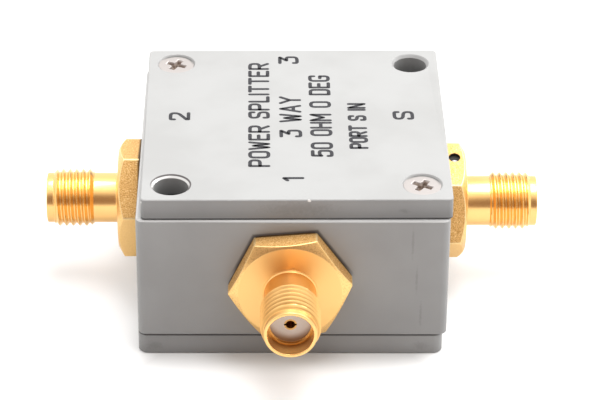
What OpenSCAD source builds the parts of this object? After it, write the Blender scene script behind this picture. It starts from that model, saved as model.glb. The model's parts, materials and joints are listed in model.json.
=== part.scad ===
// Three-way radio-frequency power splitter in a painted aluminium case with four coaxial jacks.
// Millimetres. Z is up, the case stands on Z = 0 and its middle is on the Z axis.
// Port S faces +X, port 1 faces -Y, port 2 faces -X and port 3 faces +Y.

/* [Case] */
// Width and depth of the case body
case_w = 31.75; // [31:0.05:34]
// Height of the case body between the two covers
body_h = 13.84; // [13.4:0.02:15]
// Radius of the upright corners of the body
body_corner_r = 0.8; // [0.5:0.1:1.5]
// Thickness of the wall that holds the jacks
wall_t = 3.175; // [2.6:0.025:3.4]
// Small bevel on the outer edges of the body
body_break = 0.2; // [0.05:0.05:0.4]

/* [Covers] */
// Thickness of each cover
cover_t = 2.38; // [2.2:0.02:3]
// How far each cover stands back from the sides of the body
cover_inset = 0.18; // [0.05:0.01:0.5]
// Radius of the upright corners of the top cover
top_corner_r = 0.5; // [0.3:0.1:1.5]
// Radius of the upright corners of the bottom cover
bottom_corner_r = 1; // [0.3:0.1:1.5]
// Small bevel on the edges of the covers
cover_break = 0.1; // [0.05:0.05:0.4]
// Larger bevel round the foot of the bottom cover
foot_bevel = 0.12; // [0.1:0.02:0.6]
// How far the bottom cover sits off the middle, towards port S
bottom_shift = -0.2; // [-0.3:0.05:0.3]

/* [Fixing holes] */
// Distance between the holes along each side of the case
hole_pitch = 25.4; // [25:0.05:25.8]
// How far the holes and the top cover sit off the middle, towards port S and towards port 3
pattern_shift = [0.26, 0.08];
// Turn of the holes and the top cover, in degrees
pattern_turn = 0.42; // [0:0.02:0.6]
// Diameter of the two open mounting holes
mount_d = 3.5; // [3.2:0.05:3.8]
// Diameter of the bevel round the mouth of a mounting hole
mount_mouth_d = 4.15; // [4:0.05:4.6]
// Radius of the posts in the corners of the body
post_r = 3.3; // [3.1:0.05:3.6]

/* [Cover screws] */
// Diameter of the flat head
screw_head_d = 3.9; // [3.7:0.05:4.1]
// Diameter of the countersink at the face of the cover
sink_d = 4.15; // [4.1:0.05:4.4]
// Diameter of the screw's thread
screw_d = 2.18; // [2:0.02:2.4]
// Length of the screw, head included
screw_l = 6.35; // [5.5:0.05:7]
// Full angle of the head's cone
sink_angle = 82; // [80:1:90]

/* [Coaxial jacks] */
// Height of the jacks' axes above the base
port_z = 9.15; // [9:0.05:9.6]
// Distance from the side of the case to the mouth of a jack
jack_reach = 10.07; // [9.6:0.01:10.6]
// Hexagon flange, measured across its flats
flange_af = 11; // [10.6:0.05:11.4]
// Thickness of the hexagon flange
flange_t = 2.46; // [2:0.02:2.6]
// Diameter of the turned face inside the flange's front bevel
flange_face_d = 10.5; // [10:0.1:10.9]
// Diameter of the turned face inside the bevel on the flange's back, which only cuts the corners
flange_back_d = 12.1; // [11:0.1:12.4]
// Outside diameter of the coupling thread
thread_d = 6.35; // [6.25:0.01:6.45]
// Length of the coupling thread
thread_l = 4.28; // [4:0.02:4.6]
// Diameter of the plain lead in front of the thread
lead_d = 5.3; // [5.2:0.02:5.4]
// Length of the plain lead
lead_l = 0.7; // [0.5:0.05:1]
// Diameter of the neck behind the thread
neck_d = 5.3; // [5.2:0.02:5.4]
// Diameter of the barrel that screws into the wall
barrel_d = 7.1; // [6.8:0.1:7.4]
// Bore that takes the plug's outer contact
mouth_d = 4.6; // [4.58:0.01:4.66]
// Depth of that bore
mouth_depth = 1.95; // [1.85:0.05:2.05]

/* [Inside the jacks] */
// Diameter of the white insulator
insulator_d = 4.1; // [4:0.05:4.2]
// Diameter of the centre contact
contact_d = 1.27; // [1.2:0.01:1.3]
// Socket in the centre contact
socket_d = 0.94; // [0.9:0.01:0.96]
// Depth of the socket
socket_depth = 2.6; // [2:0.1:3.2]
// Width of the two slots that make the socket springy
slot_w = 0.2; // [0.15:0.01:0.24]
// Diameter of the resin plug that locks the contact
resin_d = 1.1; // [1:0.05:1.3]
// Length of the contact's tail inside the case
tail_l = 2.1; // [1.6:0.1:2.4]

/* [Circuit] */
// Thickness of the circuit board
board_t = 1; // [0.8:0.1:1.6]
// Gap between the board and the walls
board_gap = 0.2; // [0.1:0.05:0.4]
// Distance of each transformer from the middle of the board
core_offset = 5.8; // [5.4:0.1:6]
// Outside diameter of a transformer's ring core
core_od = 6; // [5.6:0.1:6.2]
// Inside diameter of the ring core
core_id = 3; // [2.8:0.1:3.2]
// Height of the ring core
core_h = 2.6; // [2:0.1:3]
// Rounding of the ring core's edges
core_round = 0.45; // [0.4:0.05:0.5]
// Diameter of the winding wire
wire_d = 0.28; // [0.2:0.02:0.3]
// Turns on each ring core
turns = 6; // [4:1:7]

/* [Hidden] */

// Small overlap that lets one cut run clear of the next face
eps = 0.01;
total_h = body_h + 2 * cover_t;
body_top_z = cover_t + body_h;
cavity_w = case_w - 2 * wall_t;
cover_w = case_w - 2 * cover_inset;
half_pitch = hole_pitch / 2;

// Countersunk heads sit a little below the cover's face
head_drop = (sink_d - screw_head_d) / 2 / tan(sink_angle / 2);
head_h = (screw_head_d - screw_d) / 2 / tan(sink_angle / 2);
screw_clear_d = screw_d + 0.3;
tapped_depth = screw_l + head_drop - cover_t + 0.6;
recess_w = 0.55;
recess_span = 2.1;
recess_depth = 0.75;

// Jack sections, measured outwards from the side of the case
flange_r = flange_af / 2 / cos(30);
bevel_angle = 30;
collar_d = neck_d + 0.24;
collar_l = 0.15;
lead_start = jack_reach - lead_l;
thread_start = lead_start - thread_l;
thread_bevel = (thread_d - neck_d) / 2;
mouth_floor = jack_reach - mouth_depth;
lip_break = 0.12;
resin_at = flange_t / 2;
resin_drop = 0.08;
groove_d = contact_d - 0.36;
groove_w = resin_d + 0.1;
tail_flat = 0.45;

// Each port: direction in degrees about Z, turn of the hexagon, turn of the flat with the resin hole,
// and how far its axis sits to the side and above the nominal height
PORT_S = [0, 44.5, 4.5, 0, -0.18];
PORT_1 = [-90, -25, -115, -0.28, 0.07];
PORT_2 = [180, -19.5, 130.5, 0, 0.14];
PORT_3 = [90, 10, 100, 0, 0];

// The board hangs at the height where the contacts' tails lie on it
board_top_z = port_z - tail_flat;
ledge_z = board_top_z - board_t;
ledge_r = post_r + 1.2;
post_clear = 0.15;

// The wire's six flat sides touch the core and the board
wire_sides = 6;
wire_flat = wire_d / 2 * cos(180 / wire_sides);
core_mid_r = (core_od + core_id) / 4;
core_half_w = (core_od - core_id) / 4;
core_half_h = core_h / 2;
bend_inset = 0.3;
bend_steps = 2;
wound_span = 300;
lead_out = 1;
lead_bend = 0.25;
chip_w = 1.25;
chip_l = 2;
chip_cap = 0.4;
chip_rise = 0.03;

paint = [0.62, 0.61, 0.59];
gold = [0.93, 0.72, 0.36];
steel = [0.83, 0.83, 0.84];

// Place of the hole pattern on the case
module at_pattern() {
    translate([pattern_shift[0], pattern_shift[1], 0]) rotate([0, 0, pattern_turn]) children();
}

// Four places of the hole pattern, two by two
module at_corners(diagonal) {
    for (side = [-1, 1]) {
        translate([side * half_pitch, side * diagonal * half_pitch, 0]) children();
    }
}

// Slab with round upright corners, a bevel round its top edge and one round its foot
module slab(width, height, corner_r, bevel, foot) {
    inner = width / 2 - corner_r;
    side = [[-width / 2, foot], [-width / 2 + foot, 0], [width / 2 - foot, 0], [width / 2, foot],
            [width / 2, height - bevel], [width / 2 - bevel, height],
            [-width / 2 + bevel, height], [-width / 2, height - bevel]];
    for (turn = [0, 90]) {
        rotate([90, 0, turn])
            translate([0, 0, -inner])
                linear_extrude(2 * inner) polygon(side);
    }
    for (x = [-inner, inner], y = [-inner, inner]) {
        translate([x, y, 0])
            rotate_extrude()
                polygon([[0, 0], [corner_r - foot, 0], [corner_r, foot],
                         [corner_r, height - bevel], [corner_r - bevel, height], [0, height]]);
    }
}

// Section of the hollow inside the case, cut back round the four posts
module cavity_section(corner_post_r) {
    difference() {
        square(cavity_w, center = true);
        for (x = [-half_pitch, half_pitch], y = [-half_pitch, half_pitch]) {
            translate([x, y]) circle(r = corner_post_r, $fn = 64);
        }
    }
}

module case_body() {
    color(paint)
        difference() {
            translate([0, 0, cover_t]) slab(case_w, body_h, body_corner_r, body_break, body_break);
            translate([0, 0, ledge_z])
                linear_extrude(body_top_z - ledge_z + eps) cavity_section(post_r);
            translate([0, 0, cover_t - eps])
                linear_extrude(ledge_z - cover_t + 2 * eps) cavity_section(ledge_r);
            at_pattern() {
                at_corners(1)
                    translate([0, 0, cover_t - eps]) cylinder(h = body_h + 2 * eps, d = mount_d, $fn = 64);
                at_corners(-1) {
                    translate([0, 0, body_top_z - tapped_depth])
                        cylinder(h = tapped_depth + eps, d = screw_d, $fn = 48);
                    translate([0, 0, cover_t - eps])
                        cylinder(h = tapped_depth + eps, d = screw_d, $fn = 48);
                }
            }
            for (port = [PORT_S, PORT_1, PORT_2, PORT_3]) {
                at_port(port)
                    rotate([0, -90, 0])
                        translate([0, 0, -eps]) cylinder(h = wall_t + 2 * eps, d = barrel_d, $fn = 96);
            }
        }
}

// Holes of a cover whose outer face is upwards on the plane Z = cover_t
module cover_holes() {
    at_corners(1) {
        translate([0, 0, -eps]) cylinder(h = cover_t + 2 * eps, d = mount_d, $fn = 64);
        mouth_drop = (mount_mouth_d - mount_d) / 2;
        translate([0, 0, cover_t - mouth_drop])
            cylinder(h = mouth_drop + eps, d1 = mount_d, d2 = mount_mouth_d + 2 * eps, $fn = 64);
    }
    at_corners(-1) {
        translate([0, 0, -eps]) cylinder(h = cover_t + 2 * eps, d = screw_clear_d, $fn = 48);
        translate([0, 0, cover_t - head_drop - head_h])
            cylinder(h = head_h + head_drop, d1 = screw_d, d2 = sink_d, $fn = 64);
    }
}

module top_cover() {
    color(paint)
        at_pattern()
            translate([0, 0, body_top_z])
                difference() {
                    slab(cover_w, cover_t, top_corner_r, cover_break, cover_break);
                    cover_holes();
                }
}

module bottom_cover() {
    color(paint)
        difference() {
            translate([bottom_shift, 0, 0]) slab(cover_w, cover_t, bottom_corner_r, cover_break, foot_bevel);
            // Turned over about the diagonal that joins the mounting holes, so the holes keep their places
            at_pattern() translate([0, 0, cover_t]) rotate([180, 0, 90]) cover_holes();
        }
}

// Flat-head screw with a cross recess, hanging from the cover's face at Z = 0
module cover_screw() {
    color(steel)
        translate([0, 0, -head_drop])
            difference() {
                union() {
                    translate([0, 0, -head_h]) cylinder(h = head_h, d1 = screw_d, d2 = screw_head_d, $fn = 64);
                    translate([0, 0, -screw_l]) cylinder(h = screw_l - head_h + eps, d = screw_d, $fn = 48);
                }
                translate([0, 0, -recess_depth])
                    linear_extrude(recess_depth + eps) {
                        square([recess_span, recess_w], center = true);
                        square([recess_w, recess_span], center = true);
                    }
            }
}

module top_screw(side) {
    at_pattern() translate([-side * half_pitch, side * half_pitch, total_h]) cover_screw();
}

module bottom_screw(side) {
    at_pattern() translate([-side * half_pitch, side * half_pitch, 0]) rotate([180, 0, 0]) cover_screw();
}

// Puts a piece at a port: its X axis points out of the case and X = 0 is the side of the case
module at_port(port) {
    translate([0, 0, port_z + port[4]])
        rotate([0, 0, port[0]])
            translate([case_w / 2, port[3], 0]) children();
}

// Turns a piece made along Z so that it lies along X
module along_x() {
    rotate([0, 90, 0]) children();
}

// Outer form of the turned parts of a jack, as radius and distance along the axis
function shell_profile() = [
    [0, -wall_t],
    [barrel_d / 2 - lip_break, -wall_t],
    [barrel_d / 2, -wall_t + lip_break],
    [barrel_d / 2, flange_t / 2],
    [collar_d / 2, flange_t / 2],
    [collar_d / 2, flange_t + collar_l],
    [neck_d / 2, flange_t + collar_l + 0.1],
    [neck_d / 2, thread_start],
    [thread_d / 2, thread_start + thread_bevel],
    [thread_d / 2, lead_start - thread_bevel],
    [lead_d / 2, lead_start],
    [lead_d / 2, jack_reach - lip_break],
    [lead_d / 2 - lip_break, jack_reach],
    [0, jack_reach]
];

// Hexagon with a turned bevel on each face
module flange() {
    rim_r = flange_r + 1;
    face_r = flange_face_d / 2;
    back_r = flange_back_d / 2;
    intersection() {
        cylinder(h = flange_t, r = flange_r, $fn = 6);
        rotate_extrude($fn = 96)
            polygon([[0, 0], [back_r, 0], [rim_r, (rim_r - back_r) * tan(bevel_angle)],
                     [rim_r, flange_t - (rim_r - face_r) * tan(bevel_angle)],
                     [face_r, flange_t], [0, flange_t]]);
    }
}

// Hollow down the middle of a jack: plug bore, then the insulator's bore
module shell_bore() {
    translate([0, 0, mouth_floor]) cylinder(h = mouth_depth + eps, d = mouth_d, $fn = 96);
    translate([0, 0, -wall_t - eps])
        cylinder(h = wall_t + mouth_floor + 2 * eps, d = insulator_d, $fn = 96);
}

// Cross hole from the axis out through one flat of the hexagon
module resin_hole(length) {
    translate([resin_at, 0, 0]) cylinder(h = length, d = resin_d, $fn = 48);
}

module jack_shell(port) {
    color(gold)
        at_port(port)
            difference() {
                union() {
                    rotate([port[1], 0, 0]) along_x() flange();
                    along_x() rotate_extrude($fn = 96) polygon(shell_profile());
                }
                along_x() shell_bore();
                rotate([port[2], 0, 0]) resin_hole(flange_af);
            }
}

module jack_insulator(port) {
    color("white")
        at_port(port)
            difference() {
                along_x()
                    translate([0, 0, -wall_t]) cylinder(h = wall_t + mouth_floor, d = insulator_d, $fn = 96);
                along_x()
                    translate([0, 0, -wall_t - eps])
                        cylinder(h = wall_t + mouth_floor + 2 * eps, d = contact_d, $fn = 64);
                rotate([port[2], 0, 0]) resin_hole(insulator_d);
            }
}

module jack_contact(port) {
    color(gold)
        at_port(port)
            difference() {
                along_x()
                    translate([0, 0, -wall_t - tail_l])
                        cylinder(h = wall_t + tail_l + mouth_floor, d = contact_d, $fn = 64);
                // Socket and its two slots
                along_x()
                    translate([0, 0, mouth_floor - socket_depth])
                        cylinder(h = socket_depth + eps, d = socket_d, $fn = 64);
                translate([mouth_floor - socket_depth + socket_d / 2, -contact_d, -slot_w / 2])
                    cube([socket_depth, 2 * contact_d, slot_w]);
                // Groove that the resin grips
                along_x()
                    translate([0, 0, resin_at - groove_w / 2])
                        difference() {
                            cylinder(h = groove_w, d = contact_d + 1, $fn = 64);
                            translate([0, 0, -eps]) cylinder(h = groove_w + 2 * eps, d = groove_d, $fn = 64);
                        }
                // Flat under the tail, which lies on the board
                translate([-wall_t - tail_l - eps, -contact_d, -contact_d - tail_flat - port[4]])
                    cube([tail_l + eps, 2 * contact_d, contact_d]);
            }
}

module jack_resin(port) {
    color([0.12, 0.11, 0.1])
        at_port(port)
            difference() {
                union() {
                    rotate([port[2], 0, 0]) resin_hole(flange_af / 2 - resin_drop);
                    along_x()
                        translate([0, 0, resin_at - groove_w / 2]) cylinder(h = groove_w, d = contact_d, $fn = 64);
                }
                along_x()
                    translate([0, 0, resin_at - groove_w])
                        cylinder(h = 2 * groove_w, d = groove_d, $fn = 64);
            }
}

// Board that rests on the ledges of the four posts
module circuit_board() {
    color([0.16, 0.36, 0.22])
        translate([0, 0, ledge_z])
            linear_extrude(board_t)
                difference() {
                    square(cavity_w - 2 * board_gap, center = true);
                    for (x = [-half_pitch, half_pitch], y = [-half_pitch, half_pitch]) {
                        translate([x, y]) circle(r = post_r + post_clear, $fn = 64);
                    }
                }
}

// Places a transformer on the board, on the side of its port, with its free side towards the jack
module at_transformer(port) {
    rotate([0, 0, port[0]])
        translate([core_offset, 0, board_top_z + 2 * wire_flat + core_half_h])
            rotate([0, 0, 180]) children();
}

module ring_core(port) {
    w = core_half_w - core_round;
    h = core_half_h - core_round;
    color([0.25, 0.24, 0.24])
        at_transformer(port)
            rotate_extrude($fn = 72)
                translate([core_mid_r, 0]) {
                    square([2 * core_half_w, 2 * h], center = true);
                    square([2 * w, 2 * core_half_h], center = true);
                    for (x = [-w, w], y = [-h, h]) {
                        translate([x, y]) circle(r = core_round, $fn = 32);
                    }
                }
}

function unit(v) = v / norm(v);

// A point of a wire at a turn about the ring's axis, from its radius and height
function wire_point(radius, height, turn) = [radius * cos(turn), radius * sin(turn), height];

// Rounded path of one turn round the ring's section, as radius and height, from the lower outer edge
function bend_point(corner, step) =
    let (side_x = [1, 1, -1, -1][corner],
         side_y = [-1, 1, 1, -1][corner],
         angle = -90 + 90 * (corner + step / bend_steps),
         reach = bend_inset + wire_flat)
    [core_mid_r + side_x * (core_half_w - bend_inset) + reach * cos(angle),
     side_y * (core_half_h - bend_inset) + reach * sin(angle)];

// Outward direction at the same place
function bend_normal(corner, step) =
    let (angle = -90 + 90 * (corner + step / bend_steps)) [cos(angle), sin(angle)];

// Steps of the wound part, each a place in a turn and the part of the whole winding that is done
wound_steps = [
    for (turn_index = [0 : turns - 1], corner = [0 : 3], step = [0 : bend_steps])
        if (!(turn_index == 0 && corner == 0)) [turn_index, corner, step]
];

function wound_turn(s) =
    -wound_span / 2 + wound_span * (s[0] + (s[1] + s[2] / bend_steps) / 4) / turns;

// The two ends of the wire run out over the board
first_turn = -wound_span / 2;
last_turn = wound_span / 2;
outer_r = core_mid_r + core_half_w + wire_flat;
floor_y = -core_half_h - wire_flat;
wire_route = concat(
    [[wire_point(outer_r + lead_out, floor_y, first_turn), [0, 0, 1]],
     [wire_point(outer_r + lead_bend, floor_y, first_turn), [0, 0, 1]],
     [wire_point(outer_r, floor_y + lead_bend, first_turn), wire_point(1, 0, first_turn)]],
    [for (s = wound_steps)
        let (place = bend_point(s[1], s[2]), out = bend_normal(s[1], s[2]), turn = wound_turn(s))
        [wire_point(place[0], place[1], turn), wire_point(out[0], out[1], turn)]],
    [[wire_point(outer_r + lead_out, floor_y, last_turn), [0, 0, -1]]]
);

// Tube with flat sides that follows the route
module wire_tube(route) {
    last = len(route) - 1;
    rings = [
        for (i = [0 : last])
            let (ahead = route[min(i + 1, last)][0] - route[i][0],
                 behind = route[i][0] - route[max(i - 1, 0)][0],
                 along = unit((norm(ahead) > 0 ? unit(ahead) : [0, 0, 0])
                              + (norm(behind) > 0 ? unit(behind) : [0, 0, 0])),
                 rough = route[i][1],
                 out = unit(rough - (rough * along) * along),
                 side = cross(along, out))
            [for (k = [0 : wire_sides - 1])
                let (angle = 360 * (k + 0.5) / wire_sides)
                route[i][0] + wire_d / 2 * (cos(angle) * out + sin(angle) * side)]
    ];
    walls = [
        for (i = [0 : last - 1], k = [0 : wire_sides - 1])
            let (next = (k + 1) % wire_sides)
            [i * wire_sides + k, (i + 1) * wire_sides + k,
             (i + 1) * wire_sides + next, i * wire_sides + next]
    ];
    start_cap = [for (k = [0 : wire_sides - 1]) k];
    end_cap = [for (k = [wire_sides - 1 : -1 : 0]) last * wire_sides + k];
    polyhedron(points = [for (ring = rings, p = ring) p], faces = concat(walls, [start_cap, end_cap]));
}

module winding(port) {
    color([0.72, 0.3, 0.16]) at_transformer(port) wire_tube(wire_route);
}

// Chip part lying on the board, with a metal cap at each end
module chip(place, turn, height, tint) {
    color(tint)
        translate([place[0], place[1], board_top_z])
            rotate([0, 0, turn]) {
                translate([-chip_l / 2 + chip_rise, -chip_w / 2 + chip_rise, chip_rise])
                    cube([chip_l - 2 * chip_rise, chip_w - 2 * chip_rise, height - 2 * chip_rise]);
                for (side = [-1, 1]) {
                    translate([side * (chip_l - chip_cap) / 2 - chip_cap / 2, -chip_w / 2, 0])
                        cube([chip_cap, chip_w, height]);
                }
            }
}

resistor_h = 0.6;
capacitor_h = 1.1;
chip_place = core_offset + 0.6;
resistor_tint = [0.15, 0.15, 0.17];
capacitor_tint = [0.66, 0.54, 0.4];

case_body();
top_cover();
bottom_cover();
top_screw(1);  // top_screw_rear
top_screw(-1);  // top_screw_front
bottom_screw(1);  // bottom_screw_rear
bottom_screw(-1);  // bottom_screw_front
jack_shell(PORT_S);  // jack_s_shell
jack_insulator(PORT_S);  // jack_s_insulator
jack_contact(PORT_S);  // jack_s_contact
jack_resin(PORT_S);  // jack_s_resin
jack_shell(PORT_1);  // jack_1_shell
jack_insulator(PORT_1);  // jack_1_insulator
jack_contact(PORT_1);  // jack_1_contact
jack_resin(PORT_1);  // jack_1_resin
jack_shell(PORT_2);  // jack_2_shell
jack_insulator(PORT_2);  // jack_2_insulator
jack_contact(PORT_2);  // jack_2_contact
jack_resin(PORT_2);  // jack_2_resin
jack_shell(PORT_3);  // jack_3_shell
jack_insulator(PORT_3);  // jack_3_insulator
jack_contact(PORT_3);  // jack_3_contact
jack_resin(PORT_3);  // jack_3_resin
circuit_board();
ring_core(PORT_S);  // core_s
ring_core(PORT_1);  // core_1
ring_core(PORT_2);  // core_2
ring_core(PORT_3);  // core_3
winding(PORT_S);  // winding_s
winding(PORT_1);  // winding_1
winding(PORT_2);  // winding_2
winding(PORT_3);  // winding_3
chip([-chip_place, -chip_place], 45, resistor_h, resistor_tint);  // resistor_12
chip([chip_place, -chip_place], -45, resistor_h, resistor_tint);  // resistor_13
chip([-chip_place, chip_place], -45, resistor_h, resistor_tint);  // resistor_23
chip([chip_place, chip_place], 45, capacitor_h, capacitor_tint);  // input_capacitor
chip([0, 0], 0, capacitor_h, capacitor_tint);  // centre_capacitor
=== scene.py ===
# %% [markdown]
# # A coaxial power splitter
# The real object is a small painted metal box with a gold coaxial jack on each of its four sides. A signal
# that enters port S leaves in three equal shares. The solids come packed, at their real size, and are the
# fixed frame. This script adds what the eye sees: threads, screw heads, print, paint, gold and light.

# %% Tools and the fixed frame
import json
import math

import bmesh
import bpy
import numpy as np
from mathutils import Matrix, Vector


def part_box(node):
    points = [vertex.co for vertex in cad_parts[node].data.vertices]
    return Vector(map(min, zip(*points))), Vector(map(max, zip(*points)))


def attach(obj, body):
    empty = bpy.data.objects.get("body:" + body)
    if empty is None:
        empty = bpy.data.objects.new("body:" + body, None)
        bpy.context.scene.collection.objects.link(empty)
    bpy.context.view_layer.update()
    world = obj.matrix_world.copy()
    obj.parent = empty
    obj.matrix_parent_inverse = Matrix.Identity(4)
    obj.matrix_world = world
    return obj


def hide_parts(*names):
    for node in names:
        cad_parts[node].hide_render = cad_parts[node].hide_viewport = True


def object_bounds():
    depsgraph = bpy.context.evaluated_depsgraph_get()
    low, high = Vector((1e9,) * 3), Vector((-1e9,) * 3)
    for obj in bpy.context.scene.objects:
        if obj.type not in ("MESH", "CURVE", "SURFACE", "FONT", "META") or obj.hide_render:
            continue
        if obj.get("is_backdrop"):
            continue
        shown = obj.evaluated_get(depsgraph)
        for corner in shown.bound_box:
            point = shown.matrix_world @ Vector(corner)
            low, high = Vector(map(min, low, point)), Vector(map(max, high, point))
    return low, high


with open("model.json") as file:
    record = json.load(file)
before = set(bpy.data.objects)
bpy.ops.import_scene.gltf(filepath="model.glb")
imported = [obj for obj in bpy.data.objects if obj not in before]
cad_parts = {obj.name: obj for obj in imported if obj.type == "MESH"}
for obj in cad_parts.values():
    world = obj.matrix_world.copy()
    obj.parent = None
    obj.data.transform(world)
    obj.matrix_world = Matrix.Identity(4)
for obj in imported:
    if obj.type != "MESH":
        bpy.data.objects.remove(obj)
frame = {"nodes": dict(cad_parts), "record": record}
cad_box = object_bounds()
MM = 0.001
print("solids:", len(frame["nodes"]), "box:", [round(v / MM, 2) for v in cad_box[1] - cad_box[0]], "mm")

# %% [markdown]
# ## Driving sizes
# A place that the solids already hold is read from them, so nothing here can drift away from the frame.
# Only what the solids leave out, such as the pitch of the coupling thread, is written down. All sizes in
# this script are millimetres until Blender takes them, in metres.

# %% Sizes of the case and places of the ports
case_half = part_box("case_body")[1].x / MM
body_low, body_high = (corner.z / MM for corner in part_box("case_body"))
bottom_low, bottom_high = (np.array(corner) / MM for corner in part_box("bottom_cover"))
cover_half = (bottom_high[0] - bottom_low[0]) / 2
case_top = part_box("top_cover")[1].z / MM
mounts = {m["name"]: m for m in frame["record"]["mounts"]}
place_of = {name: np.array(m["pos_m"]) / MM for name, m in mounts.items()}
hole_r = mounts["mounting_hole_rear_right"]["dims"]["r_mm"]
# The holes and the top cover sit a little to the right of the body's middle and are turned a little
holes = [place_of["mounting_hole_front_left"][:2], place_of["mounting_hole_rear_right"][:2]]
pattern_middle = (holes[0] + holes[1]) / 2
diagonal = (holes[1] - holes[0]) / 2
other_diagonal = np.array([-diagonal[1], diagonal[0]])
pattern_turn = math.atan2(diagonal[1], diagonal[0]) - math.radians(45)
PORTS = ("s", "1", "2", "3")
port_axis = {p: np.array(mounts[f"port_{p}_thread"]["axis"][:2], float) for p in PORTS}
jack_reach = cad_box[1].x / MM - case_half
print("case", 2 * case_half, "mm wide, jacks reach", round(jack_reach, 2), "mm, holes turned",
      round(math.degrees(pattern_turn), 2), "degrees")

# %% [markdown]
# ## Camera
# The photograph was taken from the front with a long lens, about 31 degrees above the table. The camera was
# solved from the edges of the case and from the jacks, so the view is a few numbers: how high and how far
# the camera is, how it is turned, how long its lens is, where it aims, and how far the picture is shifted
# sideways. A Track To constraint would aim it too, but it couldn't hold the small roll.

# %% Camera
def in_scene(name, data):
    """Makes an object of a camera, a lamp or a mesh and puts it into the scene."""
    thing = bpy.data.objects.new(name, data)
    bpy.context.scene.collection.objects.link(thing)
    return thing


PHOTO_WIDTH = 600
SENSOR = 36.0
FOCAL_PIXELS = 2758.0
PICTURE_CENTRE = 280.2
RISE, YAW, ROLL = math.radians(31.51), math.radians(-0.237), math.radians(0.206)
CAMERA_DISTANCE = 293.9
AIM = np.array([-1.243, 0.0, 8.989])

forward = np.array([-math.sin(YAW) * math.cos(RISE), math.cos(YAW) * math.cos(RISE), -math.sin(RISE)])
level = np.array([math.cos(YAW), math.sin(YAW), 0.0])
upward = np.cross(level, forward)
right = math.cos(ROLL) * level + math.sin(ROLL) * upward
up = math.cos(ROLL) * upward - math.sin(ROLL) * level
camera = in_scene("camera", bpy.data.cameras.new("camera"))
camera.data.lens = FOCAL_PIXELS * SENSOR / PHOTO_WIDTH
camera.data.sensor_width = SENSOR
camera.data.shift_x = (PHOTO_WIDTH / 2 - PICTURE_CENTRE) / PHOTO_WIDTH
camera.data.clip_start = 0.01
place = Matrix.Identity(4)
for column, axis in enumerate((right, up, -forward)):
    place.col[column][:3] = axis
place.col[3][:3] = (AIM - CAMERA_DISTANCE * forward) * MM
camera.matrix_world = place
bpy.context.scene.camera = camera
print("lens", round(camera.data.lens, 1), "mm, shift", round(camera.data.shift_x, 4))

# %% [markdown]
# ## Surfaces from grids
# Every new piece is a grid of points: rows run along a profile, columns run round or along the piece. One
# helper turns such a grid into a closed mesh, and one rounds the corners of a profile, because no edge on a
# machined part is perfectly sharp and the rounding is what catches the light.

# %% Helpers for profiles and grids
def soften(path, radius, closed=False, steps=4):
    """Rounds a path's corners. A corner P gives way to (1-t)^2 A + 2t(1-t) P + t^2 B, where A and B lie on
    the sides at the same distance from P, so the path stays smooth. Shape: points x any x 2."""
    path = np.asarray(path, float)
    before, after = np.roll(path, 1, 0) - path, np.roll(path, -1, 0) - path
    length_in = np.maximum(np.linalg.norm(before, axis=-1, keepdims=True), 1e-9)
    length_out = np.maximum(np.linalg.norm(after, axis=-1, keepdims=True), 1e-9)
    cut = np.minimum(radius, 0.45 * np.minimum(length_in, length_out))
    start, end = path + before / length_in * cut, path + after / length_out * cut
    t = np.linspace(0, 1, steps).reshape((steps,) + (1,) * path.ndim)
    curve = (1 - t) ** 2 * start + 2 * t * (1 - t) * path + t ** 2 * end
    curve = np.swapaxes(curve, 0, 1).reshape((-1,) + path.shape[1:])
    return curve if closed else np.concatenate([path[:1], curve[steps:-steps], path[-1:]])


def tidy_mesh(mesh, merge=1e-7, sharp=38):
    """Closes seams and poles by merging equal points, turns faces outwards, keeps crisp edges crisp, and
    gives back how many edges are still open."""
    work = bmesh.new()
    work.from_mesh(mesh)
    bmesh.ops.remove_doubles(work, verts=work.verts, dist=merge)
    bmesh.ops.dissolve_degenerate(work, edges=work.edges, dist=merge)
    if work.calc_volume(signed=True) < 0:
        bmesh.ops.reverse_faces(work, faces=work.faces)
    work.to_mesh(mesh)
    open_edges = sum(not edge.is_manifold for edge in work.edges)
    work.free()
    mesh.shade_smooth()
    mesh.set_sharp_from_angle(angle=math.radians(sharp))
    return open_edges


def grid_mesh(name, grids, wrap_rows=False, wrap_columns=False):
    """Mesh of one or more grids of points (rows x columns x 3, millimetres), four points to a face."""
    points, faces, first = [], [], 0
    for grid in grids:
        rows, columns = grid.shape[:2]
        index = first + np.arange(rows * columns).reshape(rows, columns)
        if wrap_rows:
            index = np.vstack([index, index[:1]])
        if wrap_columns:
            index = np.hstack([index, index[:, :1]])
        corners = [index[:-1, :-1], index[:-1, 1:], index[1:, 1:], index[1:, :-1]]
        faces.append(np.stack(corners, -1).reshape(-1, 4))
        points.append(grid.reshape(-1, 3) * MM)
        first += rows * columns
    mesh = bpy.data.meshes.new(name)
    mesh.from_pydata(np.concatenate(points), [], np.concatenate(faces))
    return mesh


def add_piece(name, mesh, material, slot, *nodes):
    """Puts a mesh into the scene as a piece that rides on the one body and stands for its solids."""
    piece = in_scene(name, mesh)
    mesh.materials.clear()
    mesh.materials.append(material)
    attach(piece, "root")
    if nodes:
        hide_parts(*nodes)
    return piece


print("a right angle rounded by 1 mm:", soften([(0, 0), (4, 0), (4, 4)], 1).round(2).tolist())

# %% [markdown]
# ## Material building blocks
# Three effects are used by several materials each: a fine grain, wear along the edges of a box, and a
# single mark at a known place. So each is a node group with named sockets, which a material places with its
# own values. A group gives out only values. The shader itself stays in each material.

# %% Nodes and their inputs
def is_output(value):
    """Whether a value is another node's output and not a plain number or colour."""
    return isinstance(value, bpy.types.NodeSocket)


def feed(node, inputs):
    """Gives a node its inputs. Each is a plain value, or another node's output, which gets linked."""
    for key, value in inputs.items():
        if is_output(value):
            node.id_data.links.new(value, node.inputs[key])
        else:
            node.inputs[key].default_value = value
    return node


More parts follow.
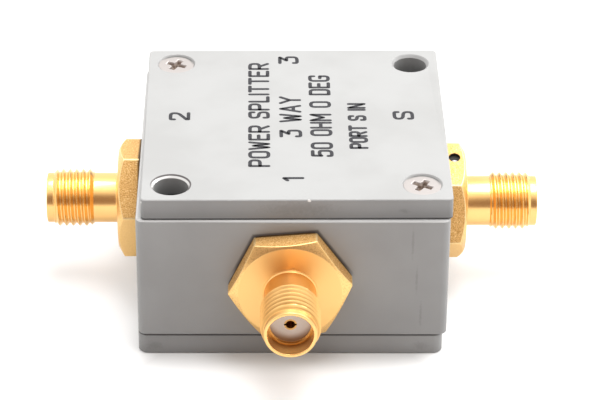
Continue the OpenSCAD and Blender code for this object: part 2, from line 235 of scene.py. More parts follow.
def add(tree, kind, inputs=(), **settings):
    """Adds a shader node with its settings and its inputs."""
    node = tree.nodes.new("ShaderNode" + kind)
    for key, value in settings.items():
        setattr(node, key, value)
    return feed(node, dict(inputs))


# %% Arithmetic and colour with nodes
def math_node(operation, *values):
    """One arithmetic node and its result. Like the next helpers, it joins the tree that its values are in."""
    tree = next(value.id_data for value in values if is_output(value))
    return add(tree, "Math", dict(enumerate(values)), operation=operation).outputs[0]


def span(value, low, high, to_low=0.0, to_high=1.0):
    """Carries a value from low..high over to another range, smoothly and without overshoot."""
    inputs = {"Value": value, 1: low, 2: high, 3: to_low, 4: to_high}
    return add(value.id_data, "MapRange", inputs, interpolation_type="SMOOTHSTEP").outputs[0]


def blend_colour(factor, first, second):
    """Mixes two colours by a mask."""
    return add(factor.id_data, "Mix", {0: factor, 6: first, 7: second}, data_type="RGBA").outputs[2]


def chain(operation):
    """Makes a helper that joins two or more values with one kind of arithmetic, from the left."""
    def joined(first, *others):
        for other in others:
            first = math_node(operation, first, other)
        return first
    return joined


times, plus, minus, largest = (chain(kind) for kind in ("MULTIPLY", "ADD", "SUBTRACT", "MAXIMUM"))


# %% What a material reads, and one more colour over it
def attribute(tree, name, output="Fac"):
    """What the mesh keeps at each of its points under this name."""
    return add(tree, "Attribute", attribute_name=name, attribute_type="GEOMETRY").outputs[output]


def object_axes(tree):
    """X, Y and Z of the shaded point in the shared frame, in millimetres."""
    metres = {0: add(tree, "TexCoord").outputs["Object"], "Scale": 1 / MM}
    place = add(tree, "VectorMath", metres, operation="SCALE").outputs[0]
    return add(tree, "SeparateXYZ", {0: place}).outputs


def paint_over(material, mask, colour):
    """Lays one more colour over a finished material, as far as the mask says."""
    shader = material.node_tree.nodes["Principled BSDF"]
    before = shader.inputs["Base Color"].links[0].from_socket
    feed(shader, {"Base Color": blend_colour(mask, before, colour)})


# %% An empty group
def new_group(name, sockets, outputs):
    """Empty node group with named inputs (name, kind, value) and outputs (name, kind)."""
    tree = bpy.data.node_groups.new(name, "ShaderNodeTree")
    for label, kind, value in sockets:
        socket = tree.interface.new_socket(label, in_out="INPUT", socket_type="NodeSocket" + kind)
        socket.default_value = value
    for label, kind in outputs:
        tree.interface.new_socket(label, in_out="OUTPUT", socket_type="NodeSocket" + kind)
    return tree, tree.nodes.new("NodeGroupInput").outputs, tree.nodes.new("NodeGroupOutput").inputs


# %% Group: fine grain
grain_group, given, result = new_group(
    "fine grain", [("Scale", "Float", 1000.0)], [("Height", "Float"), ("Tone", "Float")])
where = add(grain_group, "TexCoord").outputs["Object"]
fine = {"Vector": where, "Scale": given["Scale"], "Detail": 4.0, "Roughness": 0.6}
broad = {"Vector": where, "Scale": times(given["Scale"], 0.06), "Detail": 3.0}
for label, noise in (("Height", fine), ("Tone", broad)):
    grain_group.links.new(add(grain_group, "TexNoise", noise).outputs[0], result[label])
print("group made:", grain_group.name)

# %% Group: wear along the edges of a box
wear_group, given, result = new_group(
    "edge wear",
    [("Middle", "Vector", (0, 0, 0)), ("Turn", "Float", 0.0), ("Half", "Float", 0.016), ("Low", "Float", 0.0),
     ("High", "Float", 0.018), ("Reach", "Float", 0.0003), ("Bite", "Float", 0.5)],
    [("Mask", "Float")])
where = add(wear_group, "TexCoord").outputs["Object"]
centred = add(wear_group, "VectorMath", {0: where, 1: given["Middle"]}, operation="SUBTRACT").outputs[0]
turned = {"Vector": centred, "Angle": given["Turn"]}
squared = add(wear_group, "VectorRotate", turned, rotation_type="Z_AXIS").outputs[0]
axes = add(wear_group, "SeparateXYZ", {0: squared}).outputs
# The distances to the nearest side, front or back, and top or bottom: near an edge, two of them are small
gaps = [minus(given["Half"], math_node("ABSOLUTE", axes[side])) for side in (0, 1)]
from_foot, from_top = minus(axes[2], given["Low"]), minus(given["High"], axes[2])
gaps.append(math_node("MINIMUM", from_foot, from_top))
two_smallest = minus(plus(*gaps), largest(*gaps))
closeness = span(two_smallest, given["Reach"], 0.0)
uneven = {"Vector": where, "Scale": 900.0, "Detail": 5.0, "Roughness": 0.65}
chance = add(wear_group, "TexNoise", uneven).outputs[0]
bitten = span(chance, given["Bite"], plus(given["Bite"], 0.05))
wear_group.links.new(times(closeness, bitten), result["Mask"])
print("group made:", wear_group.name)

# %% Group: one mark at a known place
mark_group, given, result = new_group(
    "one mark",
    [("Centre", "Vector", (0, 0, 0)), ("Stretch", "Vector", (1, 1, 1)), ("Radius", "Float", 0.001),
     ("Soft", "Float", 0.3), ("Ragged", "Float", 0.0)],
    [("Mask", "Float")])
where = add(mark_group, "TexCoord").outputs["Object"]
offset = add(mark_group, "VectorMath", {0: where, 1: given["Centre"]}, operation="SUBTRACT").outputs[0]
offset = add(mark_group, "VectorMath", {0: offset, 1: given["Stretch"]}, operation="MULTIPLY").outputs[0]
away = add(mark_group, "VectorMath", {0: offset}, operation="LENGTH").outputs["Value"]
rough_edge = add(mark_group, "TexNoise", {"Vector": where, "Scale": 3500.0, "Detail": 4.0}).outputs[0]
swing = times(minus(rough_edge, 0.5), given["Ragged"])
away = plus(math_node("DIVIDE", away, given["Radius"]), swing)
mark_group.links.new(span(away, 1.0, minus(1.0, given["Soft"])), result["Mask"])
print("group made:", mark_group.name)

# %% Groups and shaders in a material
def use_group(tree, group, output=0, **values):
    """Places a group in a material with its own values and gives back one output."""
    return add(tree, "Group", values, node_tree=group).outputs[output]


def grain(tree, scale, output="Height"):
    """Fine grain of one scale: its height, or its broader tone."""
    return use_group(tree, grain_group, output, Scale=scale)


def mark(tree, centre, radius, stretch=(1, 1, 1), soft=0.3, ragged=0.0):
    """Mask of one mark, given in millimetres. A stretch above 1 makes it narrower, and 0 makes it endless."""
    return use_group(tree, mark_group, Centre=[c * MM for c in centre], Stretch=stretch, Radius=radius * MM,
                     Soft=soft, Ragged=ragged)


def new_material(name, roughness, metallic=0.0, colour=(0.8, 0.8, 0.8)):
    """Material with one principled shader and its plain values."""
    material = bpy.data.materials.new(name)
    material.use_nodes = True
    material.diffuse_color = (*colour, 1)
    shader = material.node_tree.nodes["Principled BSDF"]
    feed(shader, {"Base Color": (*colour, 1), "Roughness": roughness, "Metallic": metallic})
    return material, material.node_tree, shader


def bump(height, depth, strength):
    """Turns a height into a normal. Depth says how many millimetres a height of 1 stands for."""
    inputs = {"Strength": strength, "Distance": depth * MM, "Height": height}
    return add(height.id_data, "Bump", inputs).outputs[0]


# %% [markdown]
# ## Painted case
# The body and both covers are machined aluminium under a light grey satin paint. The paint ran into the two
# mounting holes, so their walls are grey, but round the front left one a ring is bare, and a few nicks show
# along the edges. The solids are right as they are, but their edges are knife sharp, so each is copied, its
# flat faces are joined again, and a narrow bevel softens every edge.

# %% Paint
PAINT = (0.325, 0.326, 0.324, 1)
PAINT_DEEP = (0.30, 0.30, 0.297, 1)
ALUMINIUM = (0.62, 0.61, 0.60, 1)
SMUDGE = (0.17, 0.165, 0.16, 1)
HOLE_SHADE = (0.06, 0.05, 0.05, 1)
PAINT_ROUGHNESS, BARE_ROUGHNESS = 0.42, 0.28
WEAR_REACH, WEAR_BITE = 0.22, 0.66
BARE_R, BEVEL_R, LIT_BEVEL_R = hole_r + 0.2, hole_r + 0.36, hole_r + 0.28


def left_hole(tree):
    """Masks of the bare ring round the left hole and of a crescent of painted shade on its bevel. Each is a
    disc less a smaller one, and the crescent's smaller disc is moved towards the camera."""
    def disc(radius, soft, left=0.0, front=0.0):
        return mark(tree, (holes[0][0] - left, holes[0][1] - front, 0), radius, (1, 1, 0), soft)

    ring = minus(disc(BARE_R, 0.02), disc(hole_r + 0.02, 0.005))
    return ring, minus(disc(BEVEL_R, 0.03), disc(LIT_BEVEL_R, 0.06, 0.06, 0.12))


def paint(name, half, low, high, middle=(0, 0), turn=0.0, painted_shading=(), nicks=(), smudges=()):
    """Grey paint with worn edges, and nicks and smudges (centre, stretch, radius) at known places. Painted
    light
    and shade: each entry (axis, start, end, below, above) multiplies the colour by a value that changes along
    X or Z."""
    material, tree, shader = new_material(name, PAINT_ROUGHNESS, colour=PAINT[:3])
    tone = grain(tree, 2200.0, "Tone")
    colour = blend_colour(span(tone, 0.35, 0.7), PAINT, PAINT_DEEP)
    for centre, stretch, radius in smudges:
        smudge = mark(tree, centre, radius, stretch, soft=0.9, ragged=1.2)
        colour = blend_colour(times(smudge, 0.35), colour, SMUDGE)
    axes = object_axes(tree)
    for axis, start, end, below, above in painted_shading:
        factor = span(axes[axis], start, end, below, above)
        colour = add(tree, "VectorMath", {0: colour, "Scale": factor}, operation="SCALE").outputs[0]
    bare = use_group(tree, wear_group, Middle=(middle[0] * MM, middle[1] * MM, 0), Turn=-turn, Half=half * MM,
                     Low=low * MM, High=high * MM, Reach=WEAR_REACH * MM, Bite=WEAR_BITE)
    for centre, stretch, radius in nicks:
        bare = largest(bare, mark(tree, centre, radius, stretch, soft=0.35, ragged=1.4))
    ring, crescent = left_hole(tree)
    bare = largest(bare, ring)
    colour = blend_colour(times(largest(crescent, 0.0), 0.9), colour, HOLE_SHADE)
    feed(shader, {"Base Color": blend_colour(bare, colour, ALUMINIUM), "Metallic": bare,
                  "Roughness": span(bare, 0.0, 1.0, PAINT_ROUGHNESS, BARE_ROUGHNESS),
                  "Normal": bump(grain(tree, 9000.0), 0.012, 0.5)})
    return material


# %% Paint of the body and of the covers
# Painted light and shade: each front darkens downwards. The top cover has a painted highlight at its upper
# corner and painted shade in the seam
cover_top_paint = paint(
    "paint_top_cover", cover_half, body_high, case_top, pattern_middle, pattern_turn,
    painted_shading=[("Z", body_high + 0.2, case_top - 0.4, 0.6, 0.84),
           ("Z", case_top - 0.15, case_top - 0.03, 1.0, 1.26),
           ("Z", body_high + 0.12, body_high + 0.3, 0.12, 1.0)],
    nicks=[((1.6, 0.075 - cover_half, case_top - 0.14), (0.75, 1, 0.9), 0.17),
           ((-15.2, 0.195 - cover_half, case_top - 0.4), (1, 1, 0.8), 0.11),
           ((0.245 - cover_half, -2.2, case_top - 0.05), (1, 0.7, 1), 0.1)],
    smudges=[((0.5, -cover_half, case_top - 1.0), (0.22, 0.2, 1), 1.1),
             ((11.15, -cover_half, case_top - 1.4), (0.7, 0.2, 1.3), 0.5),
             ((0.195 - cover_half, -2.2, case_top - 0.1), (1, 0.5, 1), 0.3)])
# Painted light and shade: the body darkens downwards, is bright under the seam and dark at its foot. It is
# also smudged in three places beside the flange
body_paint = paint(
    "paint_body", case_half, body_low, body_high,
    painted_shading=[("Z", body_low, body_high, 0.84, 0.94),
           ("Z", body_high - 0.18, body_high - 0.13, 1.0, 1.7),
           ("Z", body_low, body_low + 0.12, 0.55, 1.0)],
    smudges=[((x, -case_half, z), (4, 1, 0.35), 0.75) for x, z in ((12.1, 13.6), (12.6, 9.3), (13.1, 5.0))])
# Painted shade makes the bottom cover darker at its foot, a little darker at the left and dark in its seam.
# It is also smudged near both ends
cover_bottom_paint = paint(
    "paint_bottom_cover", cover_half, 0.0, body_low, ((bottom_low[0] + bottom_high[0]) / 2, 0),
    painted_shading=[("Z", 0.0, 1.5, 0.67, 0.78), ("X", -4.0, 14.0, 0.96, 1.1),
           ("Z", body_low - 0.24, body_low - 0.12, 1.0, 0.4)],
    smudges=[((x, -cover_half, 1.0), (0.6, 0.2, 1), 0.7) for x in (-14.2, 13.2)])
print("paints:", cover_top_paint.name, body_paint.name, cover_bottom_paint.name)


# %% Case pieces with softened edges
INK_THICKNESS = 0.012
SOFT_EDGE = 0.05


def softened_copy(node, lower_top):
    """Copies a solid, merges its loose triangles and joins those that lie in one plane. lower_top drops the
    upper face to leave room for the print."""
    mesh = frame["nodes"][node].data.copy()
    mesh.name = node + "_painted"
    work = bmesh.new()
    work.from_mesh(mesh)
    bmesh.ops.remove_doubles(work, verts=work.verts, dist=1e-7)
    bmesh.ops.dissolve_limit(work, angle_limit=math.radians(0.5), verts=work.verts, edges=work.edges)
    highest = max(vertex.co.z for vertex in work.verts)
    for vertex in work.verts:
        if vertex.co.z > highest - 1e-6:
            vertex.co.z -= lower_top * MM
    work.to_mesh(mesh)
    work.free()
    return mesh


for node, finish, lower_top in (("case_body", body_paint, 0), ("top_cover", cover_top_paint, INK_THICKNESS),
                                ("bottom_cover", cover_bottom_paint, 0)):
    mesh = softened_copy(node, lower_top)
    piece = add_piece(node + "_painted", mesh, finish, "case_paint", node)
    edge = piece.modifiers.new("soft edges", "BEVEL")
    edge.width, edge.segments, edge.limit_method = SOFT_EDGE * MM, 2, "ANGLE"
    edge.angle_limit = math.radians(25)
    edge.harden_normals = True
    mesh.shade_smooth()
    mesh.set_sharp_from_angle(angle=math.radians(20))
    print(piece.name, "faces before its bevel:", len(mesh.polygons))

# %% [markdown]
# ## Lathe work
# A jack's shell is turned from one bar, so its surface is a profile carried round an axis, as Blender's Spin
# could carry it. But two things break the round: the hexagon, whose radius changes with the angle, and the
# coupling thread, whose rows climb one pitch in each turn. Both fit in one grid of rows and columns, because
# the radius and the place of a point may each depend on both parameters.

# %% Hexagon and thread as functions
def hexagon_radius(angle, flat_r, corner_r):
    """Distance from the middle to a hexagon with rounded corners. On a flat it is flat_r / cos(angle from
    the flat's middle). Near a corner it is the far crossing with a circle whose centre lies on the corner."""
    beside = np.abs((angle + 30) % 60 - 30)
    straight = flat_r / np.cos(np.radians(beside))
    centre = (flat_r - corner_r) / math.cos(math.radians(30))
    off = np.radians(30 - beside)
    round_r = centre * np.cos(off) + np.sqrt(np.maximum(corner_r ** 2 - (centre * np.sin(off)) ** 2, 0))
    tangent = (flat_r - corner_r) * math.tan(math.radians(30))
    return np.where(flat_r * np.tan(np.radians(beside)) > tangent, round_r, straight)


def helix_rows(turn, start, end, crest_r, root_r, pitch, start_r, end_r, phase=0.0):
    """Rows of a right-handed thread: a row's place is pitch times (its number + turn / 360), so it climbs one
    pitch in a turn. The radius follows the row's number alone: crest, 60 degree flank, root, flank. It is
    then kept under 45 degree cones at both ends, and rows past the ends fold onto them."""
    half = np.array([0, 0.05, 0.085, 0.17, 0.26, 0.345, 0.39, 0.44, 0.5])
    half_depth = np.interp(half, [0.05, 0.085, 0.39, 0.44], [0, 0.06, 0.93, 1])
    shares = np.concatenate([half, 1 - half[-2:0:-1]])
    depth_at = np.concatenate([half_depth, half_depth[-2:0:-1]])
    turns = np.arange(-2, math.ceil((end - start) / pitch) + 2)
    number = (turns[:, None] + shares[None, :]).ravel() + phase
    depth = np.tile(depth_at, len(turns))
    along = start + pitch * (number[:, None] + turn[None, :] / 360)
    along = np.clip(along, start, end)
    radius = np.broadcast_to(crest_r - (crest_r - root_r) * depth[:, None], along.shape)
    cone = np.minimum(start_r + (along - start), end_r + (end - along))
    return np.stack([along, np.minimum(radius, cone)], -1)


def turned_points(rows, angle):
    """Points of a turned surface: (place along the axis, radius) at each angle, with the axis along X."""
    turn = np.radians(angle)[None, :]
    return np.stack([rows[..., 0], rows[..., 1] * np.cos(turn), rows[..., 1] * np.sin(turn)], -1)


def rings(turn, pairs):
    """Rows of a turned surface from pairs of place and radius. Either may differ from angle to angle."""
    return np.stack([np.stack(np.broadcast_arrays(along, radius, turn)[:2], -1) for along, radius in pairs])


def vertex_places(mesh):
    """Places of a mesh's points, in millimetres."""
    spots = np.zeros(len(mesh.vertices) * 3, np.float32)
    mesh.vertices.foreach_get("co", spots)
    return spots.reshape(-1, 3) / MM


def store(mesh, name, values):
    """Keeps a number or a vector for each point of a mesh, for its material to read."""
    kind, field = ("FLOAT", "value") if values.ndim == 1 else ("FLOAT_VECTOR", "vector")
    mesh.attributes.new(name, kind, "POINT").data.foreach_set(field, values.astype(np.float32).ravel())


print("hexagon of 11 mm: flat", hexagon_radius(0.0, 5.5, 0.1).round(3),
      "corner", hexagon_radius(30.0, 5.5, 0.1).round(3))

# %% [markdown]
# ## Gold
# The jacks are gold-plated brass. The turned parts are bright and carry fine rings from the tool, the wide
# face of the flange is satin, and the hexagon's flats were blasted and sparkle with painted glints, while a
# painted highlight runs along their bevel edge and corners. Each vertex keeps its place along the axis and
# its radius in an attribute, so one material serves all four jacks, whichever way they face. What the light
# alone doesn't show is painted over it by place: painted shade on the barrel, in the thread and over the
# neck of port 1, a painted reflection of the table on the lower flats, and painted shade on other flats of
# the hexagons.

# %% Sizes of a jack, measured outwards from the side of the case
FLANGE_T, FLANGE_FLAT_R, FACE_R = 2.46, 5.5, 5.25
BEVEL_SLOPE = math.tan(math.radians(30))
BARREL_R = 3.55
BARREL_BACK = -3.175
BACK_FACE_R = 6.05
COLLAR_R, COLLAR_L = 2.77, 0.15
NECK_R = 2.65
CREST_R, ROOT_R = 3.03, 2.72
PITCH = 25.4 / 36
MOUTH_R, MOUTH_DEPTH = 2.3, 1.95
BORE_R = 2.05
LEAD_L, THREAD_L = 0.7, 4.28
LIP = 0.08
RESIN_R = 0.55
RESIN_MOUTH_R = RESIN_R + 0.11
lead_start = jack_reach - LEAD_L
thread_start = lead_start - THREAD_L
# Turn of the hexagon, turn of the flat with the resin hole, and start of the thread, for each port
HEXAGON_TURN = {"s": 44.5, "1": -25.0, "2": -19.5, "3": 10.0}
RESIN_TURN = {"s": 4.5, "1": -115.0, "2": 130.5, "3": 100.0}
THREAD_PHASE = {"s": 0.28, "1": 0.0, "2": 0.07, "3": 0.7}
print("thread from", round(thread_start, 2), "to", round(lead_start, 2), "mm, pitch", round(PITCH, 4), "mm")

# %% Gold material
GOLD = (0.96, 0.60, 0.23, 1)
GOLD_DEEP = (0.88, 0.49, 0.16, 1)
PAINTED_GLINT = (1.0, 0.80, 0.45, 1)
PIT_AND_SHADE = (0.64, 0.355, 0.115, 1)
DARK_TONE_AND_SHADE = (0.16, 0.09, 0.035, 1)
FOOT_SHADE = (0.06, 0.035, 0.02, 1)
SHADED = (0.78, 0.40, 0.12, 1)
TABLE_REFLECTION = (1.0, 0.70, 0.31, 1)
NECK_SHADE = (0.76, 0.42, 0.15, 1)
RESIN_WALL = (0.02, 0.02, 0.02, 1)
# Roughness of the polished plate, and what satin and blasted places add to it
POLISHED, SATIN_ADDS, BLASTED_ADDS = 0.24, 0.2, 0.35
# The flanges of ports 1 and 2 begin where Y or X passes from the first to the second of these
SIDE_START, SIDE_FULL = -15.0, -15.8


def gold_coats(along, radius, blasted, grit, corner):
    """Masks and colours that follow the shape of a jack, from its place along the axis and its radius: the
    gold's own grain, painted glints and highlights, and painted shade.
    """
    # The blasted flats have dark pits and painted bright glints, and the bevel has a few of the pits
    bevel = times(span(radius, FACE_R, FACE_R + 0.06), minus(1.0, blasted), 0.5)
    pits = times(span(grit, 0.54, 0.36), plus(bevel, blasted))
    # Painted shade darkens the foot of a flat, close to the case, as dark as a gap
    shaded_foot = times(span(along, 0.42, 0.2), blasted, 0.9)
    # A flat ends at the cone of the front bevel, and that edge gets a painted highlight
    cone = math_node("MULTIPLY_ADD", radius, -BEVEL_SLOPE, FLANGE_T + FACE_R * BEVEL_SLOPE)
    edge = span(minus(cone, along), 0.13, 0.05)
    edge = times(edge, math_node("POWER", blasted, 0.3))
    # Inside the flange only the wall of the resin hole can be seen
    inside = times(span(along, 0.3, 0.5), span(along, 2.2, 2.0))
    wall = times(span(radius, FLANGE_FLAT_R, FLANGE_FLAT_R - 0.02), inside)
    # Painted shade darkens the wall of the mouth inwards
    mouth = times(span(along, jack_reach - 0.9, jack_reach - MOUTH_DEPTH + 0.05),
                  span(radius, MOUTH_R + 0.2, MOUTH_R + 0.1), span(along, 6.0, 7.0))
    return [(times(blasted, 0.15), DARK_TONE_AND_SHADE), (pits, PIT_AND_SHADE),
            (times(span(grit, 0.58, 0.74), blasted), PAINTED_GLINT), (shaded_foot, FOOT_SHADE),
            (largest(edge, corner), PAINTED_GLINT), (wall, RESIN_WALL), (mouth, PIT_AND_SHADE)]


def placed_coats(tree, along, radius, blasted):
    """Painted light and shade that belong to certain jacks or flats, from the place in the shared frame."""
    where = object_axes(tree)
    middle_x, _, middle_z = place_of["port_1_thread"]
    face = -(case_half + FLANGE_T)
    # Painted shade darkens the barrel of port 1 at both sides
    barrel = times(span(where["Y"], face - 0.2, face - 0.4),
                   span(along, lead_start + 0.02, lead_start - 0.08),
                   span(radius, MOUTH_R + 0.1, MOUTH_R + 0.2))
    left = span(where["X"], middle_x - 1.2, middle_x - 2.5, 0.0, 0.8)
    right = span(where["X"], middle_x + 1.4, middle_x + 2.7, 0.0, 0.4)
    # Painted shade darkens the grooves of its thread towards the mouth
    groove = times(span(radius, CREST_R - 0.05, ROOT_R + 0.08),
                   span(along, thread_start + 0.1, lead_start - 0.6, 0.15, 1.0))
    # The lower flats get a painted reflection of the table, and painted shade darkens the middle flats of
    # port 2 and the upper flat of port 1
    facing = add(tree, "SeparateXYZ", {0: add(tree, "NewGeometry").outputs["True Normal"]}).outputs["Z"]
    low = times(blasted, span(facing, -0.1, -0.2, 0.0, 0.8))
    middle = times(span(facing, 0.1, 0.2), span(facing, 0.85, 0.75, 0.0, 0.2))
    middle = times(middle, blasted, span(where["X"], SIDE_START, SIDE_FULL))
    upper = times(blasted, span(facing, 0.85, 0.95, 0.0, 0.16), span(where["Y"], SIDE_START, SIDE_FULL))
    # Painted shade darkens the face of the flange at port 1 over the neck
    neck_shade = mark(tree, (middle_x, face, middle_z + 3.5), 2.7, (0.8, 2, 1), soft=0.9)
    return [(times(barrel, plus(left, right)), SHADED), (times(barrel, groove), PIT_AND_SHADE),
            (low, TABLE_REFLECTION), (plus(middle, upper), DARK_TONE_AND_SHADE), (neck_shade, NECK_SHADE)]


def gold_material():
    """Gold plate: polished, satin or blasted as the attribute says. The tool left rings round the axis, so a
    reflection is drawn out across them."""
    material, tree, shader = new_material("gold_plate", 0.2, 1.0, GOLD[:3])
    lathe, around = attribute(tree, "lathe", "Vector"), attribute(tree, "around", "Vector")
    blasted, satin = attribute(tree, "blasted"), attribute(tree, "satin")
    turned = {"Vector": lathe, "Scale": 14.0, "Detail": 3.0, "Roughness": 0.7}
    tool_rings = add(tree, "TexNoise", turned, noise_dimensions="3D").outputs[0]
    place = add(tree, "TexCoord").outputs["Object"]
    grit = add(tree, "TexNoise", {"Vector": place, "Scale": 7500.0, "Detail": 2.0}).outputs[0]
    tone = grain(tree, 5000.0, "Tone")
    colour = blend_colour(times(span(tone, 0.5, 0.8), 0.4), GOLD, GOLD_DEEP)
    axes = add(tree, "SeparateXYZ", {0: lathe}).outputs
    along, radius = axes["X"], axes["Y"]
    # A painted highlight runs along the rounded corners of the hexagon, which are also a little less rough
    corner = times(span(radius, 6.24, 6.32), blasted, 0.6)
    coats = gold_coats(along, radius, blasted, grit, corner) + placed_coats(tree, along, radius, blasted)
    for mask, coat in coats:
        colour = blend_colour(mask, colour, coat)
    blunt = times(minus(blasted, times(corner, 0.4)), BLASTED_ADDS)
    on_face = span(math_node("ABSOLUTE", minus(along, FLANGE_T)), 0.06, 0.02)
    height = add(tree, "Mix", {0: blasted, 2: times(tool_rings, 0.2), 3: grit}, data_type="FLOAT").outputs[0]
    feed(shader, {"Base Color": colour, "Roughness": plus(blunt, times(satin, SATIN_ADDS), POLISHED),
                  "Anisotropic": times(on_face, 0.7), "Anisotropic Rotation": 0.25, "Tangent": around,
                  "Normal": bump(height, 0.06, 0.7)})
    return material


gold = gold_material()
print("material made:", gold.name)

# %% [markdown]
# ## Jack shells
# The profile goes round the whole section once: out along the back of the barrel, over the flange, neck,
# thread and lead, into the mouth, and back down the bore. It closes on itself, so the mesh is a ring with
# no open edge. A tapered cutter then makes the cross hole that the resin was poured through.

# %% One shell
def shell_columns():
    """Angles from one corner of the hexagon: close together at the corners, even along the flats."""
    near = np.array([0, 0.18, 0.36, 0.6, 1.4])
    sector = np.concatenate([near, np.linspace(3.5, 56.5, 19), 60 - near[:0:-1]])
    return np.concatenate([sector + 60 * k for k in range(6)] + [[360.0]])


def shell_grid(port):
    """Rows (place, radius) for every column angle: profile, thread, profile again."""
    turn = shell_columns()
    corner = HEXAGON_TURN[port] - 90
    hexagon = hexagon_radius(turn + 30, FLANGE_FLAT_R, 0.2)
    bevel_place = FLANGE_T - (hexagon - FACE_R) * BEVEL_SLOPE
    back_place = np.maximum(hexagon - BACK_FACE_R, 0) * BEVEL_SLOPE
    back = [(BARREL_BACK, BORE_R), (BARREL_BACK, BARREL_R - LIP), (BARREL_BACK + LIP, BARREL_R),
            (0, BARREL_R), (0, np.minimum(hexagon, BACK_FACE_R)), (back_place + 0.02, hexagon),
            (bevel_place, hexagon), (FLANGE_T, FACE_R), (FLANGE_T, COLLAR_R),
            (FLANGE_T + COLLAR_L, COLLAR_R), (FLANGE_T + COLLAR_L + 0.1, NECK_R), (thread_start, NECK_R)]
    front = [(lead_start, NECK_R), (jack_reach - LIP, NECK_R), (jack_reach, NECK_R - LIP),
             (jack_reach, MOUTH_R + 0.07), (jack_reach - 0.07, MOUTH_R), (jack_reach - MOUTH_DEPTH, MOUTH_R),
             (jack_reach - MOUTH_DEPTH, BORE_R), (BARREL_BACK, BORE_R)]
    phase = THREAD_PHASE[port]
    thread = helix_rows(turn, thread_start, lead_start, CREST_R, ROOT_R, PITCH, NECK_R, NECK_R, phase)
    rows = np.concatenate([soften(rings(turn, back), 0.05), thread, soften(rings(turn, front), 0.03)])
    return turned_points(rows, turn + corner)


def port_matrix(port):
    """Carries a piece that is made along X from the side of the case to its place at a port."""
    x, y = port_axis[port]
    place = place_of[f"port_{port}_thread"]
    back = place[0] * x + place[1] * y - case_half
    shift = Matrix.Translation(Vector((place[0] - back * x, place[1] - back * y, place[2])) * MM)
    return shift @ Matrix.Rotation(math.atan2(y, x), 4, "Z")


def resin_cutter(port):
    """Round cutter with a flared mouth, from the insulator out through one flat of the hexagon."""
    turn = np.linspace(0, 360, 49)
    inner_end, flare, outer_end = BORE_R - 0.45, FLANGE_FLAT_R - 0.1, FLANGE_FLAT_R + 0.25
    rows = rings(turn, [(inner_end, 0.0), (inner_end, RESIN_R), (flare, RESIN_R), (outer_end, RESIN_MOUTH_R),
                        (outer_end, 0.0)])
    mesh = grid_mesh("resin_cutter", [turned_points(rows, turn)])
    tidy_mesh(mesh)
    # The cutter is made along X, stands up along Z, leans to its flat and moves into the flange
    stand = Matrix.Rotation(math.radians(-90), 4, "Y")
    lean = Matrix.Rotation(math.radians(RESIN_TURN[port]), 4, "X")
    mesh.transform(Matrix.Translation((FLANGE_T / 2 * MM, 0, 0)) @ lean @ stand)
    return in_scene("resin_cutter", mesh)


def mark_turning(mesh, softness, matrix):
    """Writes place and radius, how blasted or satin each point is, and the way round the axis, from the
    points themselves. The way round is carried over by the matrix that also carries the piece."""
    spots = vertex_places(mesh)
    along, radius = spots[:, 0], np.hypot(spots[:, 1], spots[:, 2])
    bevel_place = FLANGE_T - (radius - FACE_R) * BEVEL_SLOPE - 0.03
    blasted = (radius > FLANGE_FLAT_R - 0.25) & (along > -0.01) & (along < bevel_place)
    face = (along > FLANGE_T - 0.7) & (along < FLANGE_T + 0.01) & ~blasted
    outside = (along > FLANGE_T) & (radius > MOUTH_R + 0.1)
    satin = np.where(face, np.where(radius > FACE_R + 0.01, 0.4, 1.0), np.where(outside, softness, 0.0))
    around = np.stack([0 * radius, -spots[:, 2], spots[:, 1]], -1) / np.maximum(radius, 1e-6)[:, None]
    store(mesh, "around", around @ np.array(matrix.to_3x3()).T)
    store(mesh, "lathe", np.stack([along, radius, 0 * radius], -1))
    store(mesh, "blasted", blasted)
    store(mesh, "satin", satin)


def cut(mesh, cutter):
    """Takes one closed mesh out of another and gives back the result."""
    holder = in_scene("holder", mesh)
    tool = holder.modifiers.new("cut", "BOOLEAN")
    tool.operation, tool.solver, tool.object = "DIFFERENCE", "EXACT", cutter
    bpy.context.view_layer.update()
    done = bpy.data.meshes.new_from_object(holder.evaluated_get(bpy.context.evaluated_depsgraph_get()))
    for thing in (holder, cutter):
        bpy.data.objects.remove(thing)
    return done


for port in PORTS:
    mesh = grid_mesh(f"jack_{port}_turned", [shell_grid(port)])
    tidy_mesh(mesh)
    mesh = cut(mesh, resin_cutter(port))
    mesh.name = f"jack_{port}_turned"
    open_edges = tidy_mesh(mesh, sharp=32)
    mark_turning(mesh, 0.5 if port == "1" else 0.1, port_matrix(port))
    mesh.transform(port_matrix(port))
    piece = add_piece(f"jack_{port}_turned", mesh, gold, "jack_gold", f"jack_{port}_shell")
    print(piece.name, len(mesh.polygons), "faces,", open_edges, "open edges")

# %% [markdown]
# ## Shade over the front flange
# Along the upper flats of the hexagon at port 1 the paint shows a narrow dark line, where the flange shades
# the case. It is laid over the paint as a hexagon a little larger than the flange. The distance from the
# axis that such a hexagon needs is the largest of the distances across its three pairs of flats.

# %% Dark line over the hexagon
FLANGE_SHADE = (0.045, 0.032, 0.028, 1)
SHADE_START, SHADE_FULL = FLANGE_FLAT_R + 0.36, FLANGE_FLAT_R + 0.08
tree = body_paint.node_tree
where = object_axes(tree)
middle_x, _, middle_z = place_of["port_1_thread"]
across, above = minus(where["X"], middle_x), minus(where["Z"], middle_z)
away = 0.0
for flat in (120, 180, 240):
    angle = math.radians(HEXAGON_TURN["1"] + flat)
    reach = math_node("MULTIPLY_ADD", above, math.sin(angle), times(across, math.cos(angle)))
    away = largest(away, math_node("ABSOLUTE", reach))
line = times(span(away, SHADE_START, SHADE_FULL), span(above, 0.3, 1.8, 0.0, 0.75),
             span(where["Y"], 0.3 - case_half, 0.2 - case_half))
paint_over(body_paint, line, FLANGE_SHADE)
print("dark line", round(SHADE_START - FLANGE_FLAT_R, 2), "mm wide round the hexagon at port 1")

